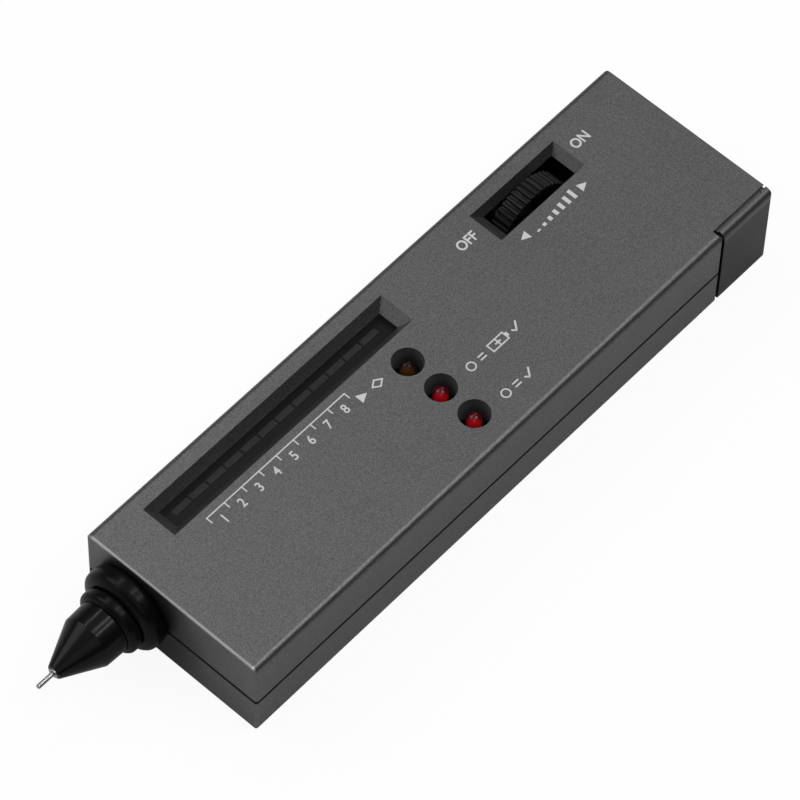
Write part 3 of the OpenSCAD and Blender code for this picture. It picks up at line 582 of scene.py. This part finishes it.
def stretched(length, width):
    """A stretch across the top face."""
    return Matrix.Diagonal((length, width, 1, 1))


def spun(angle):
    """A turn on the top face."""
    return Matrix.Rotation(angle, 4, "Z")


def lettered(words, height, centre, bold):
    """Letters as a flat mesh, reading along +X, round a centre on the top face."""
    curve = bpy.data.curves.new("letters", "FONT")
    curve.body, curve.size, curve.offset = words, height / 0.7, bold
    curve.align_x, curve.align_y = "CENTER", "CENTER"
    holder = bpy.data.objects.new("letters", curve)
    scene.collection.objects.link(holder)
    bpy.context.view_layer.update()
    shown = holder.evaluated_get(bpy.context.evaluated_depsgraph_get())
    flat = bpy.data.meshes.new_from_object(shown)
    bpy.data.objects.remove(holder)
    flat.transform(shifted(*centre) @ stretched(0.9, 1))
    return flat


def stroke(work, start, end, width):
    """A straight filled line."""
    way, centre = Vector(end) - Vector(start), (Vector(start) + Vector(end)) / 2
    place = shifted(*centre) @ spun(math.atan2(way.y, way.x)) @ stretched(way.length, width)
    bmesh.ops.create_grid(work, x_segments=1, y_segments=1, size=0.5, matrix=place)


def outline(work, centre, length, width, thick, sides, turn=0.0):
    """A hollow polygon whose corners lie on an ellipse of a length and a width."""
    shape = bmesh.new()
    place = shifted(*centre) @ stretched(length / 2, width / 2) @ spun(turn)
    bmesh.ops.create_circle(shape, cap_ends=True, segments=sides, radius=1, matrix=place)
    hole = shape.faces[:]
    bmesh.ops.inset_region(
        shape, faces=hole, thickness=thick, use_even_offset=True, use_boundary=True
    )
    bmesh.ops.delete(shape, geom=hole, context="FACES")
    flat = bpy.data.meshes.new("outline")
    shape.to_mesh(flat)
    shape.free()
    work.from_mesh(flat)


def tick(work, foot, size, width):
    """A check mark with its corner at a foot."""
    corner = Vector(foot)
    stroke(work, corner + Vector((-0.4, 0.4)) * size, corner + Vector((0.05, -0.05)) * size, width)
    stroke(work, corner, corner + Vector((0.75, 0.95)) * size, width)


def arrow(work, tip, length, width):
    """A filled triangle that points along X, or back along it with a negative length."""
    radius = length * 2 / 3
    place = shifted(tip[0] - radius, tip[1]) @ stretched(radius, width / math.sqrt(3))
    bmesh.ops.create_circle(
        work, cap_ends=True, segments=3, radius=1, matrix=place @ spun(-math.pi / 2)
    )


ink_low, ink_high = case_h - 0.015, case_h + 0.03


def printed(name, work):
    """Raises flat ink to its thickness on the top face."""
    bmesh.ops.remove_doubles(work, verts=work.verts, dist=0.001)
    bmesh.ops.recalc_face_normals(work, faces=work.faces)
    raised = bmesh.ops.extrude_face_region(work, geom=work.faces[:])
    bmesh.ops.translate(work, vec=(0, 0, ink_low), verts=work.verts)
    tops = [g for g in raised["geom"] if isinstance(g, bmesh.types.BMVert)]
    bmesh.ops.translate(work, vec=(0, 0, ink_high - ink_low), verts=tops)
    bmesh.ops.recalc_face_normals(work, faces=work.faces)
    return piece(work, name, "case", "print_ink")


# Scale beside the display
line_w = 0.24
scale_x, scale_y, tick_y, scale_pitch, scale_steps = -51.25, 6.95, 5.6, 4.35, 8
digit_y, digit_h, digit_bold = 4.6, 1.9, 0.03
sign_y = 4.2
marks = bmesh.new()
scale_end = scale_x + scale_steps * scale_pitch
stroke(marks, (scale_x - line_w / 2, scale_y), (scale_end + line_w / 2, scale_y), line_w)
for i in range(scale_steps + 1):
    x = scale_x + i * scale_pitch
    stroke(marks, (x, tick_y), (x, scale_y - line_w / 2), line_w)
for i in range(scale_steps):
    x = scale_x + (i + 0.5) * scale_pitch
    marks.from_mesh(lettered(str(i + 1), digit_h, (x, digit_y), digit_bold))
arrow(marks, (-13.6, sign_y), 1.95, 2.05)
outline(marks, (-10.9, sign_y), 3.0, 2.1, 0.3, 4)
printed("scale_print", marks)

# Switch words, arrows and rising bars round the thumbwheel
word_h, word_bold = 2.05, 0.06
arrow_l, arrow_w = 1.85, 1.9
bar_x, bar_foot, bar_w, bar_pitch, bar_count = 32.6, 4.85, 0.75, 1.65, 7
bar_first, bar_rise = 0.35, 0.3
switch = bmesh.new()
switch.from_mesh(lettered("ON", word_h, (52.4, 12.7), word_bold))
switch.from_mesh(lettered("OFF", word_h, (22.05, 12.75), word_bold))
arrow(switch, (28.8, 5.95), -arrow_l, arrow_w)
arrow(switch, (46.2, 5.75), arrow_l, arrow_w)
for i in range(bar_count):
    x = bar_x + i * bar_pitch
    stroke(switch, (x, bar_foot), (x, bar_foot + bar_first + i * bar_rise), bar_w)
printed("switch_print", switch)

# Signs beside the two red lamps
battery_y, ready_y = -5.45, -13.6
ring_x, equals_x, equals_l, equals_gap = 2.9, 5.0, 1.5, 0.4
ring_d, thin_w, sign_w, tick_w = 2.0, 0.28, 0.3, 0.36
tick_drop, tick_size = 0.75, 1.7
cell_x, cell_l, cell_w, knob_l, knob_w = 9.9, 4.2, 2.0, 0.45, 0.9
plus_half, plus_low, plus_high, plus_gap = 0.7, -0.7, 0.7, 0.15
guide = bmesh.new()
for y, tick_x in ((battery_y, 14.0), (ready_y, 8.3)):
    outline(guide, (ring_x, y), ring_d, ring_d, thin_w, 32)
    for gap in (-equals_gap, equals_gap):
        stroke(guide, (equals_x, y + gap), (equals_x + equals_l, y + gap), sign_w)
    tick(guide, (tick_x, y - tick_drop), tick_size, tick_w)
corner = math.sqrt(2)
outline(guide, (cell_x, battery_y), cell_l * corner, cell_w * corner, thin_w, 4, math.pi / 4)
knob_x = cell_x + cell_l / 2
stroke(guide, (knob_x, battery_y), (knob_x + knob_l, battery_y), knob_w)
stroke(guide, (cell_x - plus_half, battery_y), (cell_x + plus_half, battery_y), sign_w)
for low, high in ((plus_low, -plus_gap), (plus_gap, plus_high)):
    stroke(guide, (cell_x, battery_y + low), (cell_x, battery_y + high), sign_w)
printed("lamp_print", guide)

# Camera, where the photograph was taken from
azimuth, elevation, roll = math.radians(-49.295), math.radians(57.369), math.radians(1.963)
shift_right, shift_up, distance = -6.122, 3.553, 942.907
picture_px, focal_px, sensor_mm = 800, 5291.5, 36.0
level = Vector((math.cos(azimuth), math.sin(azimuth), 0))
ahead = Vector((math.sin(azimuth), -math.cos(azimuth), 0))
back = ahead * math.cos(elevation) + Vector((0, 0, math.sin(elevation)))
tilted = Matrix((level, back.cross(level), back)).transposed() @ Matrix.Rotation(roll, 3, "Z")
camera = bpy.data.objects.new("camera", bpy.data.cameras.new("camera"))
camera.data.sensor_width, camera.data.lens = sensor_mm, focal_px * sensor_mm / picture_px
camera.data.clip_end = 20.0
place = tilted @ Vector((shift_right, shift_up, distance)) * MM
camera.matrix_world = Matrix.Translation(place) @ tilted.to_4x4()
scene.collection.objects.link(camera)
scene.camera = camera


# Floor and room
def ray_kinds(graph):
    """1 for a ray of each kind: from the camera, from a glossy surface, through a clear one."""
    outputs = graph.node("LightPath", {}, {}).socket.node.outputs
    return [Wire(graph, outputs[f"Is {kind} Ray"]) for kind in ("Camera", "Glossy", "Transmission")]


def floor_white():
    """White to the eye, dim in glossy paint, and shaded by the object."""
    made = bpy.data.materials.new("floor_white")
    graph = Graph(made)
    straight, glossy, through = ray_kinds(graph)
    diffuse = graph.node("BsdfDiffuse", {}, {"Color": graph.mix(straight, rgb(0.72), rgb(0.95))})
    shining = graph.node("Emission", {}, {"Color": rgb(1.0), "Strength": 1.0})
    white_share = (straight * 0.93).most(glossy * 0.06).most(through * 0.93)
    blend = graph.node("MixShader", {}, {0: white_share, 1: diffuse, 2: shining})
    graph.feed(graph.tree.nodes["Material Output"], {"Surface": blend})
    return made


def room_white():
    """White to the eye, with a bright tent overhead and a pale wall low on the left in glossy paint."""
    made = bpy.data.worlds.new("room")
    graph = Graph(made)
    straight, glossy, through = ray_kinds(graph)
    _, left, high = graph.split(graph.node("TexCoord", {}, {}, "Generated"))
    tent = graph.mix(high.ramp(0.5, 1.0), rgb(0.0), rgb(0.65))
    wall = glossy * high.ramp(0.35, 0.05) * left.ramp(-0.2, 0.3) * 0.5
    colour = graph.mix(straight.most(through).most(wall), tent, rgb(1.0))
    shining = graph.node("Background", {}, {"Color": colour, "Strength": 1.0})
    graph.feed(graph.tree.nodes["World Output"], {"Surface": shining})
    return made


ground = bmesh.new()
bmesh.ops.create_circle(ground, cap_ends=True, segments=96, radius=3.0)
ground_mesh = bpy.data.meshes.new("floor")
ground.to_mesh(ground_mesh)
ground.free()
ground_mesh.materials.append(floor_white())
floor = bpy.data.objects.new("floor", ground_mesh)
floor.location.z = -0.2 * MM
scene.collection.objects.link(floor)
scene.world = room_white()


# Lamps of the studio, in metres
def softbox(name, towards, width, length, brightness, distance=1.2):
    """A rectangular lamp of even brightness that faces the object, its length along the case."""
    light = bpy.data.lights.new(name, "AREA")
    light.shape, light.size, light.size_y = "RECTANGLE", length, width
    light.energy = brightness * math.pi * width * length
    lamp = bpy.data.objects.new(name, light)
    way = Vector(towards).normalized()
    along = (Vector((1, 0, 0)) - way * way.x).normalized()
    facing = Matrix((along, way.cross(along), way)).transposed().to_4x4()
    lamp.matrix_world = Matrix.Translation(way * distance) @ facing
    scene.collection.objects.link(lamp)


softbox("strip_left", (0.2, 0.5, 0.84), 0.025, 0.4, 36.0)
softbox("strip_right_high", (0.28, -0.14, 0.94), 0.04, 0.6, 30.0)
softbox("strip_right_low", (0.28, -0.43, 0.86), 0.04, 0.6, 30.0)
softbox("box_left", (-0.28, 0.64, 0.71), 0.75, 0.75, 2.8)
softbox("box_right", (-0.5, -0.6, 0.62), 0.7, 0.7, 0.65)
softbox("box_front", (-0.8, 0.45, 0.38), 0.4, 0.4, 1.5)
softbox("box_rear", (0.76, 0.35, 0.54), 0.35, 0.35, 3.0)
